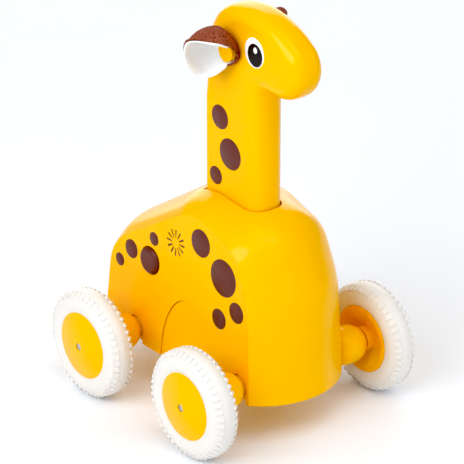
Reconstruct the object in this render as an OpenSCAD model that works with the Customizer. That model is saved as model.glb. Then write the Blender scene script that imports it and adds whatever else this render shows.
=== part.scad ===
// Press and go toy: a long-necked animal on four wheels.
// Pressing the head pushes a rack past a gear train; the return spring then drives the rear axle.
// Millimetres. +X is forward, +Z is up, the origin is on the floor midway between the axles.

/* [Wheels] */
// Distance between the front and rear axles
wheelbase = 84.8; // [82:0.2:88]
// Distance between the mid-planes of the left and right tyres
track = 117.2; // [112:0.2:124]
// Outer diameter of a tyre
tyre_d = 58; // [54:1:62]
// Radius of the round section of a tyre
tyre_section_r = 7.4; // [6.8:0.2:8.2]
// Outer diameter of the hub, where the tyre sits
hub_d = 35.8; // [33:0.2:38]
// How far the hub's dome stands proud of its rim
hub_dome_h = 2.6; // [2:0.2:4]
// Distance from the tyre's mid-plane out to the hub's rim
hub_rim_out = 6.4; // [5.4:0.2:7]
// Diameter of the hub's inner boss
hub_boss_d = 13; // [11:0.5:15]
// Diameter of the steel axles
axle_d = 4; // [3.5:0.1:5]
// Lugs in each of the two shoulder rows of a tyre
lug_count = 48; // [36:4:60]
// How far a lug stands out of the tyre
lug_h = 0.9; // [0.6:0.1:1.2]

/* [Body] */
// Width of the body between its flat flanks
body_w = 62; // [60:0.5:66]
// Height of the body's lower edge above the floor
body_bottom = 21.5; // [20:0.5:22]
// Wall thickness of the body shell
wall = 2.2; // [1.8:0.1:2.6]
// Angle at which the flanks lean in
flank_lean = 1.8; // [1:0.1:2.4]
// Distance from the origin forward to the flank's front edge at the bottom
flank_front = 51.4; // [50:0.2:54]
// Distance from the origin back to the flank's rear edge at the bottom
flank_rear = 68; // [66:0.5:69]
// Forward place of the flank's edge where the chest starts to lean back
chest_x = 49; // [48:0.2:51]
// Height at which the chest starts to lean back
chest_break_z = 75; // [72:0.5:78]
// Forward place of the shoulder corner on the flank
shoulder_x = 37.8; // [36:0.2:40]
// Height of the shoulder corner on the flank
shoulder_z = 100; // [98:0.2:102]
// Forward place of the highest point of the flank
peak_x = 3; // [1:0.5:6]
// Height at which the two slopes of the flank's top would meet
peak_z = 111.2; // [109:0.2:114]
// Distance back to the corner of the rump on the flank
rump_back = 62.8; // [61:0.2:64]
// Height of the corner of the rump on the flank
rump_z = 71.6; // [70:0.2:76]
// How far the chest bulges forward of the flank's front edge
chest_crown = 13.6; // [11:0.2:15]
// How far the shoulder bulges above the flank's shoulder corner
shoulder_crown = 15; // [13:0.2:16]
// How far the top bulges above the flank's top edge
top_crown = 6.8; // [5:0.2:8]
// How far the rump bulges above the flank's rump corner
rump_crown = 8.4; // [7:0.2:10]
// How far the rump bulges behind the flank's rear edge
rear_crown = 3.6; // [2.4:0.2:4.4]

/* [Belly] */
// Half-width of the arch in each flank at the body's lower edge
arch_half_w = 22; // [19:0.5:24]
// Height of the arch's crown above the floor
arch_top = 60; // [56:0.5:64]
// Forward place of the arch's centre
arch_x = 1.2; // [0:0.1:4]
// How deep the belly panel lies behind the flank
arch_recess = 0.8; // [0.4:0.1:1.2]
// Thickness of the belly floor
floor_t = 2.6; // [2:0.2:3]
// Diameter of the tubes that carry the axles
boss_d = 11.4; // [10:0.2:13]
// Diameter of the round bead at each end of a tube
bead_d = 20.2; // [19:0.2:21]

/* [Neck and head] */
// Thickness of the head and neck, across the toy
neck_t = 20; // [18.5:0.5:21]
// Forward place of the neck's front
neck_front = 31.6; // [30.4:0.2:33]
// Distance back to the neck's rear
neck_back = 9.4; // [9:0.1:10.4]
// How far the head goes down when it is pressed
travel = 24; // [18:0.5:24]
// Wall thickness of the head and neck shells
neck_wall = 2.2; // [1.8:0.1:2.6]
// Forward place of the middle of the muzzle
muzzle_x = 45.4; // [43:0.2:48]
// Height of the middle of the muzzle
muzzle_z = 196; // [193:0.5:199]
// Radius of the muzzle
muzzle_r = 16; // [14.5:0.5:17]
// Forward place of the middle of the head's back
crown_x = 14.6; // [14:0.2:15.4]
// Height of the middle of the head's back
crown_z = 195.5; // [193:0.5:198]
// Radius of the long curve over the forehead
forehead_r = 54; // [46:1:64]
// Gap all round between the neck and its socket
socket_gap = 0.8; // [0.5:0.1:1.2]

/* [Ears] */
// Radius of an ear's mouth
ear_r = 13.5; // [12:0.5:15]
// Depth of an ear's bowl
ear_depth = 19.5; // [17:0.5:22]
// Thickness of the outer felt
felt_t = 1.2; // [0.8:0.1:1.6]
// Thickness of the lining
lining_t = 0.8; // [0.6:0.1:1.2]
// Diameter of the button that holds an ear
ear_button_d = 10.5; // [9:0.5:10.5]

/* [Drive] */
// Module of all the gear teeth
gear_module = 1; // [0.9:0.05:1]
// Teeth of the pinion that meets the rack
pinion_teeth = 12; // [12:1:14]
// Teeth of the large gear beside the pinion
wheel_teeth = 56; // [52:1:56]
// Teeth of the gear on the rear axle
drive_teeth = 16; // [15:1:16]
// Pressure angle of all the teeth
pressure_angle = 25; // [22:1:27]
// Slack taken off the thickness of each tooth
backlash = 0.14; // [0.08:0.02:0.2]
// Diameter of the steel pin that carries the pinion
pin_d = 3; // [2.5:0.1:3.5]
// Coils of the return spring
spring_coils = 9; // [7:1:10]
// Diameter of the return spring's wire
spring_wire_d = 1.2; // [1:0.1:1.4]
// Mean diameter of the return spring
spring_d = 11.6; // [10.8:0.2:13]

/* [Squeaker] */
// Diameter of the button in the right flank
button_d = 15; // [13:0.5:16]
// Forward place of the button
button_x = -30.4; // [-32:0.2:-29]
// Height of the button
button_z = 71.5; // [70:0.5:73]
// How far the button stands out of the flank
button_out = 1.8; // [1.2:0.2:2.4]
// How far the button goes in
button_travel = 2.4; // [1.6:0.2:2.6]
// Sound slots in the right flank
slot_count = 12; // [8:1:14]
// Outer radius of the ring of sound slots
slot_ring_r = 7.2; // [6:0.2:8]

/* [Hidden] */
$fn = 64;

// Colours
yellow = [1.00, 0.78, 0.02];
brown = [0.44, 0.25, 0.22];
felt_brown = [0.55, 0.28, 0.20];
lining_white = [0.92, 0.91, 0.93];
tyre_white = [0.98, 0.97, 0.95];
steel = [0.72, 0.73, 0.75];
nylon = [0.90, 0.89, 0.84];
dark_rubber = [0.30, 0.30, 0.32];

// Clearances
running_gap = 0.05;
panel_gap = 0.3;
seat_gap = 0.3;
notch_gap = 0.7;
wheel_gap = 0.5;
tyre_gap = 0.8;
ear_gap = 0.1;
coil_gap = 0.7;
end_gap = 0.1;
// Margin by which a cutter runs past the face that it cuts
over = 1;
// Least radius that a rounding keeps when it is drawn in
least_r = 0.4;

// Wheel set
axle_z = tyre_d / 2;
front_x = wheelbase / 2;
rear_x = -wheelbase / 2;
tyre_mid_r = tyre_d / 2 - tyre_section_r;
hub_r = hub_d / 2;
hub_dish_depth = 4;
hub_dish_gap = 1;
hub_rim_wall = 2;
hub_rim_in = 7;
hub_face_y = track / 2 + hub_rim_out;
axle_sink = 0.5;
axle_end_y = hub_face_y + hub_dome_h - axle_sink;
tyre_in_y = track / 2 - tyre_section_r;
boss_end_y = tyre_in_y - tyre_gap;
hub_boss_in_y = boss_end_y + wheel_gap;
lug_spread = 42;
lug_span = 24;
lug_root = 0.6;

// Body
half_w = body_w / 2;
floor_z = body_bottom + floor_t;
bead_r = bead_d / 2;
bead_nose = 8;
bead_out_y = boss_end_y - bead_nose;
bead_in_y = half_w + panel_gap + sqrt(pow(bead_r, 2) - pow(boss_d / 2, 2));
// Share of the crown's radius that the half-width takes, which sets how round the crown is
crown_round = 0.75;
skin_rows = 14;
chest_bend_r = 45;
ridge_setback = 10.6;
shoulder_setback = 6.2;
flank_corners = [
    [flank_front, body_bottom], [chest_x, chest_break_z], [shoulder_x, shoulder_z],
    [peak_x, peak_z], [-rump_back, rump_z], [-flank_rear, body_bottom]
];
crown_shifts = [
    [chest_crown, 0], [chest_crown, 0], [chest_crown - shoulder_setback, shoulder_crown],
    [-ridge_setback, top_crown], [-rear_crown, rump_crown], [-rear_crown, 0]
];
ridge_corners = flank_corners + crown_shifts;
flank_shoulder_r = 16;
flank_peak_r = 26;
flank_rump_r = 26;
ridge_shoulder_r = 34;
ridge_peak_r = 40;
ridge_rump_r = 17;
flank_radii = [0, chest_bend_r, flank_shoulder_r, flank_peak_r, flank_rump_r, 0];
ridge_radii = [0, chest_bend_r, ridge_shoulder_r, ridge_peak_r, ridge_rump_r, 0];
corner_steps = [0, 8, 12, 10, 12, 0];
// How far the chest and the rump lean in over the height of the floor
chest_run = floor_t * (flank_front - chest_x) / (chest_break_z - body_bottom);
rump_run = floor_t * (flank_rear - rump_back) / (rump_z - body_bottom);
// Belly panel and the ribs that carry the axle tubes on the floor
arch_t = 4;
arch_steps = 32;
saddle_w = 6;

// Neck and head
half_t = neck_t / 2;
neck_seat_z = 88;
foot_t = 4;
foot_flange = 2.4;
collar_wall = 2;
collar_z = neck_seat_z + seat_gap;
front_edge_r = 8.5;
rear_edge_r = 2.4;
head_edge_r = 7.5;
crown_r = crown_x + neck_back;
chin_fillet_r = 5;
nape_z = 165;
// Radius given to the ends of straight stretches, so that they can be drawn in like the arcs
straight_r = front_edge_r + 2 * neck_wall;
edge_steps = 6;

// Ears
ear_seat_y = half_t + ear_gap;
ear_centre = [12.6, -21.4, 193.7];
ear_turn = 38;
ear_nod = 28;
ear_lip = 2;
ear_button_x = 12.5;
ear_button_z = 197;
ear_button_t = 2.4;
ear_stem_d = 6;
ear_bands = 12;

// Drive
pinion_r = gear_module * pinion_teeth / 2;
wheel_r = gear_module * wheel_teeth / 2;
drive_r = gear_module * drive_teeth / 2;
rack_line_x = -11;
rack_back_x = -6;
pinion_x = rack_line_x - pinion_r;
gear_centres = wheel_r + drive_r;
pinion_z = axle_z + sqrt(pow(gear_centres, 2) - pow(pinion_x - rear_x, 2));
mesh_angle = atan2(axle_z - pinion_z, rear_x - pinion_x);
tooth_pitch = PI * gear_module;
root_depth = 1.25 * gear_module;
rack_half_t = 4;
pinion_half_t = 5;
wheel_y0 = 14;
wheel_y1 = 18;
cap_t = 1;
gear_room = 0.8;
roller_r = 0.9;
roller_ring_r = axle_d / 2 + roller_r + running_gap;
foot_under_z = neck_seat_z - foot_t;
rack_tail = 5;
rack_bottom_z = pinion_z - rack_tail;
frame_t = 2.6;
frame_gap = 1;
frame_right_y1 = -9.2;
frame_right_y0 = frame_right_y1 - frame_t;
frame_left_y0 = wheel_y1 + cap_t + frame_gap;
frame_left_y1 = frame_left_y0 + frame_t;
frame_boss_r = 5.5;
frame_right_reach = 20;
frame_left_reach = 12;
pin_out = 0.6;
// Room in the belly for the drive gear, and the drum around it
room_y0 = wheel_y0 - gear_room;
room_y1 = wheel_y1 + cap_t + gear_room;
room_r = drive_r + gear_module + gear_room / 2;
drum_wall = 1.6;
// Clutch pockets: floor under the rollers, and how the free end of each widens
pocket_floor = 0.8;
pocket_rise = 0.25;
pocket_room = 0.2;
pocket_turn = 20;
spring_x = 14;
spring_post_d = 7;
spring_post_gap = 4;
spring_post_h = foot_under_z - travel - floor_z - spring_post_gap;
spring_ring_steps = 10;
spring_sides = 6;

// Squeaker
sleeve_gap = 0.25;
button_r = button_d / 2;
button_flange_t = 1.4;
button_flange_w = 1.5;
button_flange_r = button_r + button_flange_w;
button_flange_y = -flank_y(button_z + button_flange_r) + wall + panel_gap;
button_edge_r = 2.2;
reed_t = 2;
reed_rim = 1;
bellows_folds = 3;
bellows_depth = 2;
slot_x = -9.7;
slot_z = 89.1;
slot_inner_r = 2.9;
slot_inner_w = 0.7;
slot_outer_w = 1.2;

// Screws
screw_d = 3;
screw_head_d = 6;
screw_head_t = 1.6;
screw_in = 9;
screw_post_d = 8;
front_post = [23, 21.5];
rear_post_y = 6;
rear_post = [rear_x - boss_d / 2 - notch_gap - screw_post_d / 2, rear_post_y];
foot_screw_x = 8;
foot_screw_y = 5.2;
foot_screw_boss_r = 3.2;
foot_screw_end = 2;

// Outlines

// Unit vector along v
function unit(v) = v / norm(v);

// Signed turn from angle a to angle b, the short way
function turn(a, b) = let (d = b - a) d - 360 * round(d / 360);

// Points of the rounding at corner p of a convex outline, drawn in from the outline by inset
function corner_arc(before, p, after, r, inset, steps) =
    let (u = unit(before - p))
    let (v = unit(after - p))
    let (half_angle = acos(u * v) / 2)
    let (into = unit(u + v))
    let (q = p + into * inset / sin(half_angle))
    let (rr = max(r - inset, least_r))
    let (c = q + into * rr / sin(half_angle))
    let (w0 = q + u * rr / tan(half_angle) - c)
    let (w1 = q + v * rr / tan(half_angle) - c)
    let (a0 = atan2(w0.y, w0.x))
    let (sweep = turn(a0, atan2(w1.y, w1.x)))
    steps == 0 ? [q] : [for (i = [0:steps]) let (a = a0 + sweep * i / steps) c + rr * [cos(a), sin(a)]];

// Closed outline with rounded corners, drawn in by inset
function rounded_outline(corners, radii, inset) =
    let (n = len(corners))
    [for (i = [0:n - 1]) each corner_arc(corners[(i + n - 1) % n], corners[i], corners[(i + 1) % n],
        radii[i], inset, corner_steps[i])];

// Half-width of the body between its leaning flanks at height z
function flank_y(z) = half_w - tan(flank_lean) * (z - body_bottom);

// Share of the crown that is lost at eta, from 0 on the ridge to 1 on the flank
function crown_loss(eta) =
    (1 - sqrt(1 - pow(crown_round * eta, 2))) / (1 - sqrt(1 - pow(crown_round, 2)));

// The inside of the body at the floor, as a plan, drawn in by inset
function plan_x(eta, corner) = ridge_corners[corner].x
    + (flank_corners[corner].x - ridge_corners[corner].x) * crown_loss(eta);
function plan_outline(inset, rows) =
    let (reach = flank_y(floor_z) - inset)
    concat(
        [for (i = [0:rows]) let (e = 2 * i / rows - 1) [plan_x(e, 0) - chest_run - inset, e * reach]],
        [for (i = [0:rows]) let (e = 1 - 2 * i / rows) [plan_x(e, 5) + rump_run + inset, e * reach]]
    );

// Skins

// Faces of a stack of closed rings of n points each. The first and last ring are closed flat by a fan from
// their first point, which has to see all the others.
function stack_faces(rings, n) = concat(
    [for (i = [1:n - 2]) [0, i + 1, i]],
    [for (j = [0:rings - 2]) for (i = [0:n - 1]) let (k = (i + 1) % n)
        each [[j * n + i, (j + 1) * n + k, (j + 1) * n + i], [j * n + i, j * n + k, (j + 1) * n + k]]],
    [for (i = [1:n - 2]) (rings - 1) * n * [1, 1, 1] + [0, i, i + 1]]
);

// The body's skin as a solid, drawn in by inset, its lower edge moved down by drop
module body_solid(inset, drop) {
    ridge = rounded_outline(ridge_corners, ridge_radii, inset);
    flank = rounded_outline(flank_corners, flank_radii, inset);
    n = len(ridge);
    points = [for (j = [0:skin_rows]) for (i = [0:n - 1])
        let (eta = 2 * j / skin_rows - 1)
        let (p = ridge[i] + (flank[i] - ridge[i]) * crown_loss(eta))
        let (z = i == 0 || i == n - 1 ? body_bottom - drop : p.y)
        [p.x, eta * (flank_y(z) - inset), z]];
    polyhedron(points, stack_faces(skin_rows + 1, n));
}

// Centre of the circle of radius r that holds two smaller circles and touches both from inside, below them
function bridge_centre(c1, r1, c2, r2, r) =
    let (d = c2 - c1)
    let (k = (d * d + pow(r - r1, 2) - pow(r - r2, 2)) / (2 * (r - r1) * norm(d)))
    let (a = atan2(d.y, d.x) - acos(k))
    c1 + (r - r1) * [cos(a), sin(a)];

crown_centre = [crown_x, crown_z];
muzzle_centre = [muzzle_x, muzzle_z];
forehead_centre = bridge_centre(crown_centre, crown_r, muzzle_centre, muzzle_r, forehead_r);
back_meet = let (d = crown_centre - forehead_centre) atan2(d.y, d.x);
nose_meet = let (d = muzzle_centre - forehead_centre) atan2(d.y, d.x);
chin_z = muzzle_z - muzzle_r;
crown_steps = 9;
crown_step = (180 - back_meet) / crown_steps;

// Arcs of the head and neck's outline: centre, radius, first and last angle, edge rounding, steps,
// and how many of those steps it leaves to its neighbours at each end. A negative radius is a hollow corner.
neck_arcs = [
    [crown_centre, crown_r, 180 - crown_step, 180, head_edge_r, 1, 0],
    [[straight_r - neck_back, nape_z], straight_r, 180, 180, rear_edge_r, 0, 0],
    [[straight_r - neck_back, neck_seat_z], straight_r, 180, 180, rear_edge_r, 0, 0],
    [[neck_front - straight_r, neck_seat_z], straight_r, 0, 0, front_edge_r, 0, 0],
    [[neck_front + chin_fillet_r, chin_z - chin_fillet_r], -chin_fillet_r, 180, 90, front_edge_r, 5, 0],
    [muzzle_centre, muzzle_r, -90, nose_meet, head_edge_r, 14, 0],
    [forehead_centre, forehead_r, nose_meet, back_meet, head_edge_r, 8, 1],
    [crown_centre, crown_r, back_meet, 180 - 2 * crown_step, head_edge_r, crown_steps - 2, 0]
];

// Point of the head and neck's skin: arc s, angle a, and the lean of the rounded edge
function skin_point(s, a, lean, inset) =
    let (edge = max(s[4] - inset, least_r))
    let (cut = inset + edge * (1 - cos(lean)))
    let (reach = half_t - inset - edge * (1 - sin(lean)))
    let (r = s[1] > 0 ? max(s[1] - cut, least_r) : -s[1] + cut)
    [s[0].x + r * cos(a), reach, s[0].y + r * sin(a)];

// One half of the head and neck as a solid from the mid-plane to the flank, drawn in by inset
module neck_solid(inset, past, drop) {
    leans = [for (i = [0:edge_steps]) 90 * i / edge_steps];
    rows = [for (lean = leans) [for (s = neck_arcs) for (i = [s[6]:s[5] - s[6]])
        skin_point(s, s[2] + (s[5] == 0 ? 0 : (s[3] - s[2]) * i / s[5]), lean, inset)]];
    n = len(rows[0]);
    middle = [for (p = rows[0]) [p.x, -past, p.z]];
    points = [for (row = concat([middle], rows)) for (p = row)
        [p.x, p.y, p.z < neck_seat_z + over ? p.z - drop : p.z]];
    polyhedron(points, stack_faces(len(rows) + 1, n));
}

// Shapes that repeat

// A rod along Y from y0 to y1
module rod(x, z, r, y0, y1) {
    translate([x, y0, z]) rotate([-90, 0, 0]) cylinder(r = r, h = y1 - y0);
}

// A flat drawn in x and z, thickened along Y from y0 to y1
module slab(y0, y1) {
    translate([0, y1, 0]) rotate([90, 0, 0]) linear_extrude(y1 - y0) children();
}

// Leans a piece in with the flank: side -1 for right and 1 for left
module leaned(side) {
    translate([0, side * half_w, body_bottom]) rotate([side * flank_lean, 0, 0])
        translate([0, -side * half_w, -body_bottom]) children();
}

// The neck's plan, grown by grow, thickened from z0 to z1
module neck_plan(grow, z0, z1) {
    r = front_edge_r;
    side = half_t + grow;
    translate([0, 0, z0]) linear_extrude(z1 - z0) union() {
        translate([-neck_back - grow, -side]) square([neck_back + neck_front - r + grow, 2 * side]);
        translate([-neck_back, r - half_t]) square([neck_back + neck_front + grow, neck_t - 2 * r]);
        for (s = [-1, 1]) translate([neck_front - r, s * (half_t - r)]) circle(r + grow);
    }
}

// The arch of the belly panel, grown by grow
module arch(grow) {
    rise = arch_top - body_bottom;
    translate([arch_x, body_bottom])
        polygon([for (i = [0:arch_steps]) let (a = 180 * i / arch_steps)
            [(arch_half_w + grow) * cos(a), (rise + grow) * sin(a)]]);
}

// Involute function, in degrees
function inv(a) = tan(a) * 180 / PI - a;

// Half of a tooth's angle at radius r
function tooth_half(teeth, r) =
    let (pitch_r = gear_module * teeth / 2)
    let (a = acos(min(pitch_r * cos(pressure_angle) / r, 1)))
    90 / teeth - backlash / pitch_r * 90 / PI + inv(pressure_angle) - inv(a);

// Outline of a spur gear with a tooth at the angle given
module gear_outline(teeth, first) {
    pitch_r = gear_module * teeth / 2;
    root_r = pitch_r - root_depth;
    tip_r = pitch_r + gear_module;
    base_r = max(pitch_r * cos(pressure_angle), root_r);
    flank_steps = 4;
    radii = [for (i = [0:flank_steps]) base_r + (tip_r - base_r) * i / flank_steps];
    polygon([for (k = [0:teeth - 1]) let (a = first + 360 * k / teeth) each concat(
        [let (h = tooth_half(teeth, base_r)) root_r * [cos(a - h), sin(a - h)]],
        [for (r = radii) let (h = tooth_half(teeth, r)) r * [cos(a - h), sin(a - h)]],
        [for (i = [flank_steps:-1:0]) let (r = radii[i]) let (h = tooth_half(teeth, r))
            r * [cos(a + h), sin(a + h)]],
        [let (h = tooth_half(teeth, base_r)) root_r * [cos(a + h), sin(a + h)]]
    )]);
}

// A domed wheel hub, its outer face towards +Z, its mid-plane at z = 0
module hub() {
    dome_r = (pow(hub_r, 2) + pow(hub_dome_h, 2)) / (2 * hub_dome_h);
    top_z = hub_rim_out + hub_dome_h;
    boss_z = hub_boss_in_y - track / 2;
    dish_z = hub_dish_depth - hub_rim_in;
    difference() {
        union() {
            difference() {
                intersection() {
                    translate([0, 0, -hub_rim_in]) cylinder(r = hub_r, h = hub_rim_in + top_z + over);
                    translate([0, 0, top_z - dome_r]) sphere(r = dome_r, $fn = 128);
                }
                hub_dish(dish_z);
            }
            translate([0, 0, boss_z]) cylinder(d = hub_boss_d, h = dish_z + over - boss_z);
        }
        translate([0, 0, boss_z - over]) cylinder(d = axle_d, h = top_z - boss_z + 2 * over);
    }
}

// The dish in the hub's inner side, its bottom at bottom_z
module hub_dish(bottom_z) {
    rim_r = hub_r - hub_rim_wall;
    rotate_extrude($fn = 128) polygon([
        [0, -hub_rim_in - over], [rim_r, -hub_rim_in - over], [rim_r, -hub_rim_in],
        [hub_boss_d / 2 + hub_dish_gap, bottom_z], [0, bottom_z]
    ]);
}

// A tyre with a smooth crown and two shoulder rows of lugs, its mid-plane at z = 0
module tyre() {
    lug_turn = 360 / lug_count;
    in_r = tyre_section_r - lug_root;
    out_r = tyre_section_r + lug_h;
    difference() {
        union() {
            rotate_extrude($fn = 96) translate([tyre_mid_r, 0]) circle(r = tyre_section_r);
            for (k = [0:lug_count - 1]) rotate([0, 0, lug_turn * (k - 0.25)])
                for (s = [-1, 1]) rotate_extrude(angle = lug_turn / 2, $fn = 96)
                    translate([tyre_mid_r, 0]) polygon([
                        for (c = [[in_r, -1], [out_r, -1], [out_r, 1], [in_r, 1]])
                            let (a = s * lug_spread + c.y * lug_span / 2) c.x * [cos(a), sin(a)]
                    ]);
        }
        translate([0, 0, -2 * tyre_section_r]) cylinder(r = hub_r, h = 4 * tyre_section_r);
    }
}

// Places a wheel piece on an axle: x of the axle, side -1 for right and 1 for left
module on_axle(x, side) {
    translate([x, side * track / 2, axle_z]) rotate([-90 * side, 0, 0]) children();
}

// A steel axle
module axle(x) {
    rod(x, axle_z, axle_d / 2, -axle_end_y, axle_end_y);
}

// A pan-head screw whose head's underside lies at z = 0, pointing up
module screw() {
    cylinder(d = screw_d, h = screw_in);
    translate([0, 0, -screw_head_t]) cylinder(d = screw_head_d, h = screw_head_t);
}

// Places a piece at each of the four screw posts
module at_posts() {
    for (p = [front_post, rear_post]) for (s = [-1, 1]) translate([p.x, s * p.y, 0]) children();
}

// Places a piece at each of the two foot screws
module at_foot_screws() {
    for (s = [-1, 1]) translate([foot_screw_x, s * foot_screw_y, 0]) children();
}

// Sub-parts

screw_seat_z = body_bottom + screw_head_t;

module body_shell() {
    color(yellow) difference() {
        union() {
            difference() {
                body_solid(0, 0);
                body_solid(wall, over);
            }
            intersection() {
                body_solid(wall / 2, 0);
                union() {
                    at_posts() translate([0, 0, floor_z]) cylinder(d = screw_post_d, h = peak_z);
                    neck_plan(socket_gap + collar_wall, collar_z, peak_z + 2 * top_crown);
                }
            }
        }
        neck_plan(socket_gap, collar_z - over, peak_z + 2 * top_crown);
        for (s = [-1, 1]) leaned(s) slab(s * half_w - wall - over, s * half_w + wall + over) arch(0);
        for (x = [front_x, rear_x]) {
            rod(x, axle_z, boss_d / 2 + notch_gap, -half_w - over, half_w + over);
            translate([x - boss_d / 2 - notch_gap, -half_w - over, body_bottom - over])
                cube([boss_d + 2 * notch_gap, body_w + 2 * over, axle_z - body_bottom + over]);
        }
        at_posts() translate([0, 0, floor_z - over]) cylinder(d = screw_d, h = screw_in + 2 * over);
        rod(button_x, button_z, button_r + sleeve_gap, -half_w, button_flange_y + over);
        slab(-half_w, -flank_y(slot_z + slot_ring_r) + wall + over) sound_slots();
    }
}

// The ring of sound slots, each a little wider at its outer end
module sound_slots() {
    translate([slot_x, slot_z]) for (k = [0:slot_count - 1]) rotate(360 * k / slot_count) polygon([
        [slot_inner_r, -slot_inner_w / 2], [slot_ring_r, -slot_outer_w / 2],
        [slot_ring_r, slot_outer_w / 2], [slot_inner_r, slot_inner_w / 2]
    ]);
}

module belly_chassis() {
    saddle_y = flank_y(axle_z) - wall - panel_gap;
    color(yellow) difference() {
        union() {
            translate([0, 0, body_bottom]) linear_extrude(floor_t)
                polygon(plan_outline(wall + panel_gap, skin_rows));
            for (s = [-1, 1]) belly_panel(s);
            for (x = [front_x, rear_x]) {
                rod(x, axle_z, boss_d / 2, -boss_end_y, boss_end_y);
                translate([x - saddle_w / 2, -saddle_y, floor_z - over])
                    cube([saddle_w, 2 * saddle_y, axle_z - floor_z + over]);
                for (s = [-1, 1]) translate([x, 0, axle_z]) rotate([-90 * s, 0, 0]) bead();
            }
            slab(frame_right_y0, frame_right_y1) frame_right();
            slab(frame_left_y0, frame_left_y1) frame_left();
            rod(rear_x, axle_z, room_r + drum_wall, room_y0 - drum_wall, room_y1 + drum_wall);
            translate([spring_x, 0, floor_z - over]) cylinder(d = spring_post_d, h = spring_post_h + over);
        }
        for (x = [front_x, rear_x])
            rod(x, axle_z, axle_d / 2 + running_gap, -boss_end_y - over, boss_end_y + over);
        rod(rear_x, axle_z, room_r, room_y0, room_y1);
        rod(pinion_x, pinion_z, wheel_r + gear_module + gear_room, room_y0, room_y1);
        rod(pinion_x, pinion_z, pin_d / 2, frame_right_y0 - over, frame_left_y1 + over);
        at_posts() {
            translate([0, 0, body_bottom - over])
                cylinder(d = screw_d + 2 * running_gap, h = floor_t + 2 * over);
            translate([0, 0, body_bottom - over])
                cylinder(d = screw_head_d + 2 * panel_gap, h = screw_head_t + over);
        }
    }
}

// The arch-shaped panel let into a flank, cut off level with the floor's underside
module belly_panel(side) {
    pad = half_w - arch_recess;
    intersection() {
        leaned(side) slab(side * pad - (side + 1) * arch_t / 2, side * pad - (side - 1) * arch_t / 2)
            arch(-panel_gap);
        translate([arch_x - body_w, -body_w, body_bottom]) cube([2 * body_w, 2 * body_w, arch_top]);
    }
}

// The round bead of an axle tube, along +Z from the middle of the toy
module bead() {
    intersection() {
        union() {
            translate([0, 0, bead_in_y]) sphere(r = bead_r);
            translate([0, 0, bead_in_y]) cylinder(r = bead_r, h = bead_out_y - bead_in_y);
            translate([0, 0, bead_out_y]) sphere(r = bead_r);
        }
        translate([0, 0, half_w + panel_gap]) cylinder(r = bead_d, h = boss_end_y - half_w - panel_gap);
    }
}

// The frame wall on the right: a web from the floor to the pin, and an arm up to the squeaker's seat
module frame_right() {
    seat_r = button_r + reed_rim;
    polygon([
        [pinion_x - frame_right_reach, floor_z - over], [pinion_x + frame_boss_r, floor_z - over],
        [pinion_x + frame_boss_r, pinion_z], [button_x + seat_r, button_z], [button_x - seat_r, button_z]
    ]);
    translate([pinion_x, pinion_z]) circle(frame_boss_r);
    translate([button_x, button_z]) circle(seat_r);
}

// The frame wall on the left: a web from the floor to the pin
module frame_left() {
    polygon([
        [pinion_x - frame_left_reach, floor_z - over], [pinion_x + frame_left_reach, floor_z - over],
        [pinion_x + frame_boss_r, pinion_z], [pinion_x - frame_boss_r, pinion_z]
    ]);
    translate([pinion_x, pinion_z]) circle(frame_boss_r);
}

module chassis_screws() {
    color(steel) at_posts() translate([0, 0, screw_seat_z]) screw();
}

module neck_half() {
    difference() {
        union() {
            difference() {
                neck_solid(0, 0, 0);
                neck_solid(neck_wall, over, 2 * neck_wall);
            }
            translate([foot_screw_x, foot_screw_y, neck_seat_z])
                cylinder(r = foot_screw_boss_r, h = screw_in + foot_screw_end);
        }
        translate([foot_screw_x, foot_screw_y, neck_seat_z - over])
            cylinder(d = screw_d, h = screw_in + over);
        rod(ear_button_x, ear_button_z, ear_stem_d / 2, half_t - 2 * neck_wall, half_t + over);
    }
}

module neck_half_left() {
    color(yellow) neck_half();
}

module neck_half_right() {
    color(yellow) mirror([0, 1, 0]) neck_half();
}

module neck_foot() {
    color(nylon) difference() {
        intersection() {
            neck_plan(foot_flange, foot_under_z, neck_seat_z);
            translate([-neck_back, -body_w, foot_under_z - over])
                cube([2 * body_w, 2 * body_w, foot_t + 2 * over]);
        }
        at_foot_screws() translate([0, 0, foot_under_z - over])
            cylinder(d = screw_d + 2 * running_gap, h = foot_t + 2 * over);
        at_foot_screws() translate([0, 0, foot_under_z - over])
            cylinder(d = screw_head_d + 2 * panel_gap, h = screw_head_t + over);
    }
}

module neck_foot_screws() {
    color(steel) at_foot_screws() translate([0, 0, foot_under_z + screw_head_t]) screw();
}

// The rack hangs from the foot; a space lies level with the pinion at rest
module drive_rack() {
    root_x = rack_line_x + root_depth;
    tip_x = rack_line_x - gear_module;
    top_tooth = floor((foot_under_z - pinion_z) / tooth_pitch - 1);
    low_tooth = ceil((rack_bottom_z - pinion_z) / tooth_pitch);
    half_tooth = tooth_pitch / 4 - backlash / 2;
    slope = tan(pressure_angle);
    color(nylon) slab(-rack_half_t, rack_half_t) polygon(concat(
        [[rack_back_x, foot_under_z], [root_x, foot_under_z]],
        [for (k = [top_tooth:-1:low_tooth]) let (z = pinion_z + (k + 0.5) * tooth_pitch) each [
            [root_x, z + half_tooth + slope * root_depth], [tip_x, z + half_tooth - slope * gear_module],
            [tip_x, z - half_tooth + slope * gear_module], [root_x, z - half_tooth - slope * root_depth]
        ]],
        [[root_x, rack_bottom_z], [rack_back_x, rack_bottom_z]]
    ));
}

// Centre line of the return spring: share 0 to 1 along the wire
function spring_point(share) =
    let (end_pitch = spring_wire_d + coil_gap)
    let (low = floor_z + spring_wire_d / 2 + end_gap)
    let (high = foot_under_z - spring_wire_d / 2 - end_gap)
    let (turns = share * spring_coils)
    let (pitch = (high - low - 2 * end_pitch) / (spring_coils - 2))
    let (z = turns < 1 ? turns * end_pitch
        : turns > spring_coils - 1 ? (high - low) - (spring_coils - turns) * end_pitch
        : end_pitch + (turns - 1) * pitch)
    [spring_x + spring_d / 2 * cos(360 * turns), spring_d / 2 * sin(360 * turns), low + z];

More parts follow.
